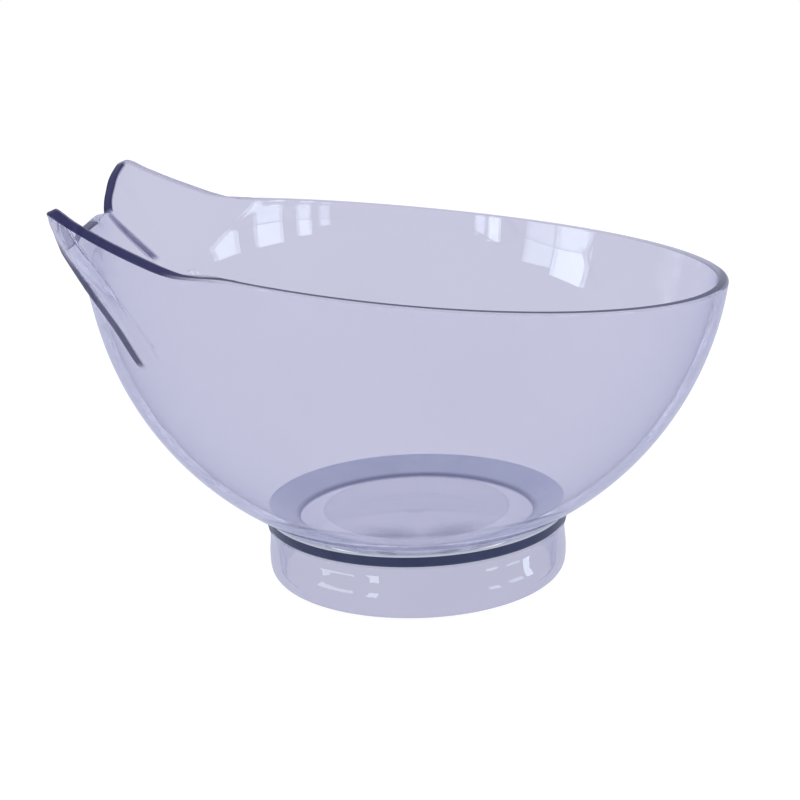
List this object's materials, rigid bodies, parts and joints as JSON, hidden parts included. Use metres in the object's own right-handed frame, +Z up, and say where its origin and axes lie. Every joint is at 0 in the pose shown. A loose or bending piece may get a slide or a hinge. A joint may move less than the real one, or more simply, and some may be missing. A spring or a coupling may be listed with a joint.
{
  "type": "hair color bowl",
  "caption": "Tinted clear round mixing bowl with a slanted rim that rises into two ear-shaped peaks, on a low ring foot with a dark seam ring.",
  "frame": {"origin": "under the middle of the overall width and depth, on the plane the foot stands on", "axes": "+Z up; -X towards the notch between the two peaks; +Y across the bowl, towards the peak on the far side"},
  "size_m": [0.1304, 0.1298, 0.0847],
  "materials": {
    "bowl_plastic": "clear, lavender tint, polished",
    "seam_plastic": "dark navy, smooth",
    "foot_plastic": "clear, lavender tint, polished"
  },
  "bodies": {
    "root": {"bowl_shell": "bowl_plastic", "seam_ring": "seam_plastic", "foot_ring": "foot_plastic"}
  },
  "joints": []
}
